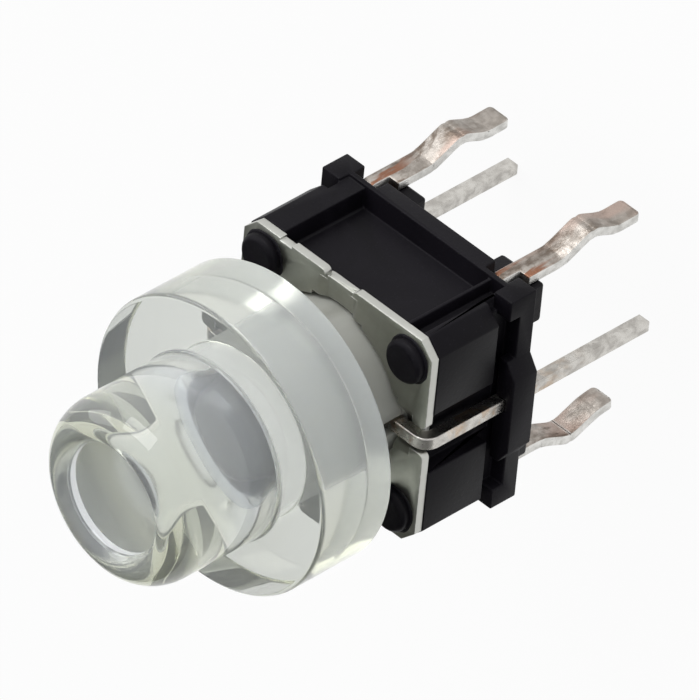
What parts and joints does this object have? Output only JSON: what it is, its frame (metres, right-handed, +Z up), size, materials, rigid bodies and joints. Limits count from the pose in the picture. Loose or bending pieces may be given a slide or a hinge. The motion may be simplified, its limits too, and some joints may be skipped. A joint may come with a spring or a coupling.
{
  "type": "illuminated tactile switch",
  "caption": "Square black push switch for a circuit board, with a steel cover plate, a clear round cap on a white neck, a light inside it, crimped solder terminals and the light's long leads.",
  "frame": {"origin": "centre of the four feet, on the face of the circuit board that they stand on", "axes": "+Z up out of the board along the button's axis; the solder terminals stand in rows along Y and the light's leads lie along X, the short one at +X"},
  "size_m": [0.008, 0.008, 0.0167],
  "materials": {
    "black_nylon": "fine moulded texture, slightly glossy",
    "plate_steel": "bright rolled",
    "tinned_bronze": "dull tin plating with the copper colour showing at the roots",
    "spring_steel": "bright",
    "white_acetal": "satin",
    "clear_cap": "clear, polished",
    "clear_epoxy": "clear, cast",
    "tinned_steel": "tin-plated, satin",
    "chip_crystal": "polished crystal",
    "gold_wire": "bright"
  },
  "bodies": {
    "base": {"housing": "black_nylon", "cover_plate": "plate_steel", "outer_contact": "tinned_bronze", "centre_contact": "tinned_bronze", "snap_dome": "spring_steel", "led_lens": "clear_epoxy", "led_cathode": "tinned_steel", "led_anode": "tinned_steel", "led_chip": "chip_crystal", "bond_wire": "gold_wire"},
    "button": {"plunger": "white_acetal", "cap": "clear_cap"}
  },
  "joints": [
    {"name": "button_press", "type": "slide", "parent": "base", "child": "button", "axis": [0, 0, -1], "range_m": [0, 0.00025], "stiffness_N_per_m": 6200, "deforming": ["snap_dome"]}
  ]
}
